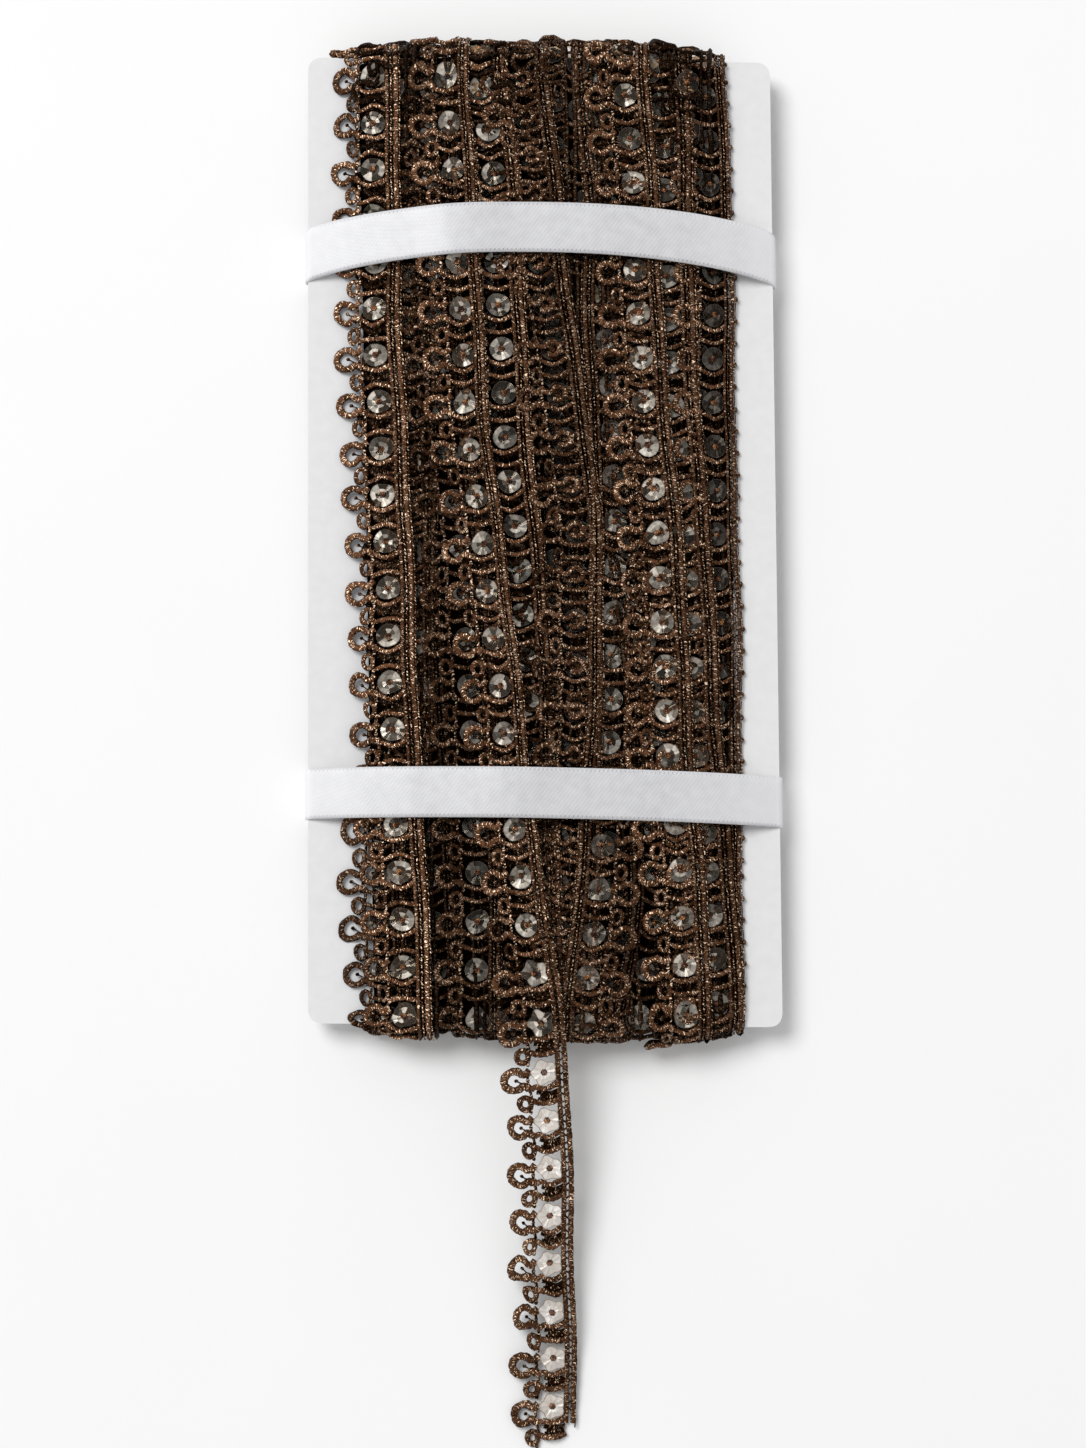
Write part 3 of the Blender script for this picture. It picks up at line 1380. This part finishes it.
    def deep_turns(self) -> list[Turn]:
        """Lists plainer turns that lie under the others and show in the gaps between them."""
        left = ((-29.5, -25.5, 0.12), (-12.5, -9.0, 0.1), (2.5, 3.0, 0.4))
        right = ((7.4, 14.5, 0.45), (21.0, 31.0, 0.12), (29.5, 34.0, 0.12))
        turns = []
        for number, (top, bottom, shade) in enumerate((*left, *right), start=1):
            turn = Turn(
                f"turn_deep_{number}",
                ((-95, bottom), (95, top)),
                ((0, 92.0 - 1.7 * number), (20, -94.0 - 0.9 * number)),
                ((-95, -1.6), (-80, -3.0), (60, -3.0), (95, -0.9)),
                mirrored=number == 2,
                detail=Detail.PLAIN,
                shade=shade,
                sparkle=0.05,
                start=-116.0,
                stop=116.0,
                stray=0.4,
                seed=30 + number,
            )
            turns.append(turn)
        return turns

    def last_turn(self) -> list[Turn]:
        """Lists the last turn's two stretches, on the pack and loose."""
        off_pack = ((-179.5, 1.4), (-153, 1.2), (-132.8, 1.1), (-122.5, 1.0), (-112.3, 0.6), (-103.1, -0.2))
        low = ((-95.0, -1.0), (-87.0, -1.9), (-77.0, -3.1), (-58.2, -5.6), (-40.7, -7.3), (-31.5, -8.2))
        high = ((-20.2, -10.0), (-2.8, -11.5), (17.3, -14.2), (36.7, -15.6), (53.7, -16.7), (92.0, -18.4))
        line = (*off_pack, *low, *high)
        marks = ((0, 92.0), (19, -86.4), (28, -172.98))
        stretched = BraidUnit(
            pitch=9.62,
            heading_cords=((-2.75, 0.5), (-4.15, 0.52)),
            edge_cords=((-2.5, 0.15), (-4.6, 0.17)),
            ring_down=1.5,
            ring_cord=0.78,
            small_across=3.95,
            small_down=6.3,
            small_half=(1.1, 1.25),
            small_cord=0.58,
            bar_cord=0.58,
            bar_down=3.35,
            over_down=6.3,
            massed=True,
            sequin_radius=2.75,
            sequin_lift=0.6,
            notch=0.11,
        )
        return [
            Turn(
                "turn_slanting",
                line,
                marks,
                ((0, 0.3), (60, -0.3)),
                gap=3.1,
                shade=1.4,
                sparkle=0.9,
                start=-82.0,
                cut=(103.5, -80.2),
                stands_for="sequin_slanting",
                seed=13,
            ),
            Turn(
                "loose_end",
                line,
                marks,
                ((0, 0.7),),
                start=-176.0,
                stop=-82.1,
                cut=(-80.4, -179.0),
                stray=0.12,
                stands_for="sequin_loose",
                surface=LooseSurface(self.pack),
                unit=stretched,
                seed=13,
            ),
        ]

    def build(self, finishes: Finishes) -> None:
        """Builds every turn, its plainer run behind the card, and the loose end.

        Args:
            finishes: The part's materials.
        """
        turns = [*self.left_turns(), *self.middle_turns(), *self.right_turns()]
        for seed, turn in enumerate(turns, start=2):
            turn.seed = seed
            turn.build(finishes)
            behind = Turn(
                f"{turn.name}_back",
                turn.line,
                turn.marks,
                turn.levels,
                turn.mirrored,
                turn.gap,
                Detail.PLAIN,
                start=turn.stop,
                stop=self.pack.round_run + turn.start,
                seed=seed,
            )
            behind.build(finishes)
        for turn in self.deep_turns():
            turn.build(finishes)
        _, (braid, sequins, beads) = [turn.build(finishes) for turn in self.last_turn()]
        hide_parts("loose_end")


@dataclass
class Studio:
    """The floor, the lights and the camera, which looks nearly straight down on the pack."""

    eye: tuple[float, float, float] = (0.0, -78.2, 646.8)
    pitch: float = 3.67
    roll: float = -0.2
    lens: float = 80.3
    key_at: tuple[float, float, float] = (-1300.0, 1250.0, 2600.0)
    key_size: float = 1700.0
    key_power: float = 63.5
    room_level: float = 0.5
    floor_half: float = 8.0
    sensor: float = 36.0

    def floor(self, finishes: Finishes) -> Object:
        """Lays the floor.

        Args:
            finishes: The scene's materials.

        Returns:
            The floor.
        """
        half = self.floor_half
        corners = [(-half, -half, 0), (half, -half, 0), (half, half, 0), (-half, half, 0)]
        mesh = bpy.data.meshes.new("floor")
        mesh.from_pydata(corners, [], [(0, 1, 2, 3)])
        mesh.materials.append(finishes.paper)
        floor = link_object("floor", mesh)
        return floor

    def lights(self) -> None:
        """Hangs one broad lamp at the upper left and lights the room evenly."""
        data = bpy.data.lights.new("key", "AREA")
        data.shape = "DISK"
        data.size = self.key_size * MM
        data.energy = self.key_power
        key = link_object("key", data)
        key.location = Vector(self.key_at) * MM
        key.rotation_euler = (-key.location).to_track_quat("-Z", "Y").to_euler()
        world = bpy.data.worlds.new("room")
        world.use_nodes = True
        background = world.node_tree.nodes["Background"].inputs
        background["Color"].default_value = (1, 1, 1, 1)
        background["Strength"].default_value = self.room_level
        bpy.context.scene.world = world
        bpy.context.scene.view_settings.view_transform = "Standard"

    def camera(self) -> Object:
        """Sets up the camera."""
        data = bpy.data.cameras.new("camera")
        data.lens = self.lens
        data.sensor_width = self.sensor
        data.clip_start = 10 * MM
        camera = link_object("camera", data)
        pitched = Matrix.Rotation(math.radians(self.pitch), 4, "X")
        rolled = Matrix.Rotation(math.radians(self.roll), 4, "Z")
        camera.matrix_world = Matrix.Translation(Vector(self.eye) * MM) @ pitched @ rolled
        bpy.context.scene.camera = camera
        return camera


def main() -> None:
    """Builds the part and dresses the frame's own card."""
    logging.basicConfig(level=logging.INFO, format="%(name)s: %(message)s")
    studio = Studio()
    studio.camera()
    studio.lights()
    finishes = Finishes()
    studio.floor(finishes)
    card = bpy.data.objects["card"]
    card.data.materials.clear()
    card.data.materials.append(finishes.card)
    LOG.info("card dressed")
    InnerTurns().build(finishes)
    WoundTrim().build(finishes)
    SatinBand("satin_band_upper", "band_upper", 56.6, 55.3, 5.2, 5.35, (-47.0, 46.6), -16.5).build(finishes)
    SatinBand("satin_band_lower", "band_lower", -51.0, -53.0, 0.9, 5.0, (-46.9, 47.1), -6.2).build(finishes)


if __name__ == "__main__":
    main()
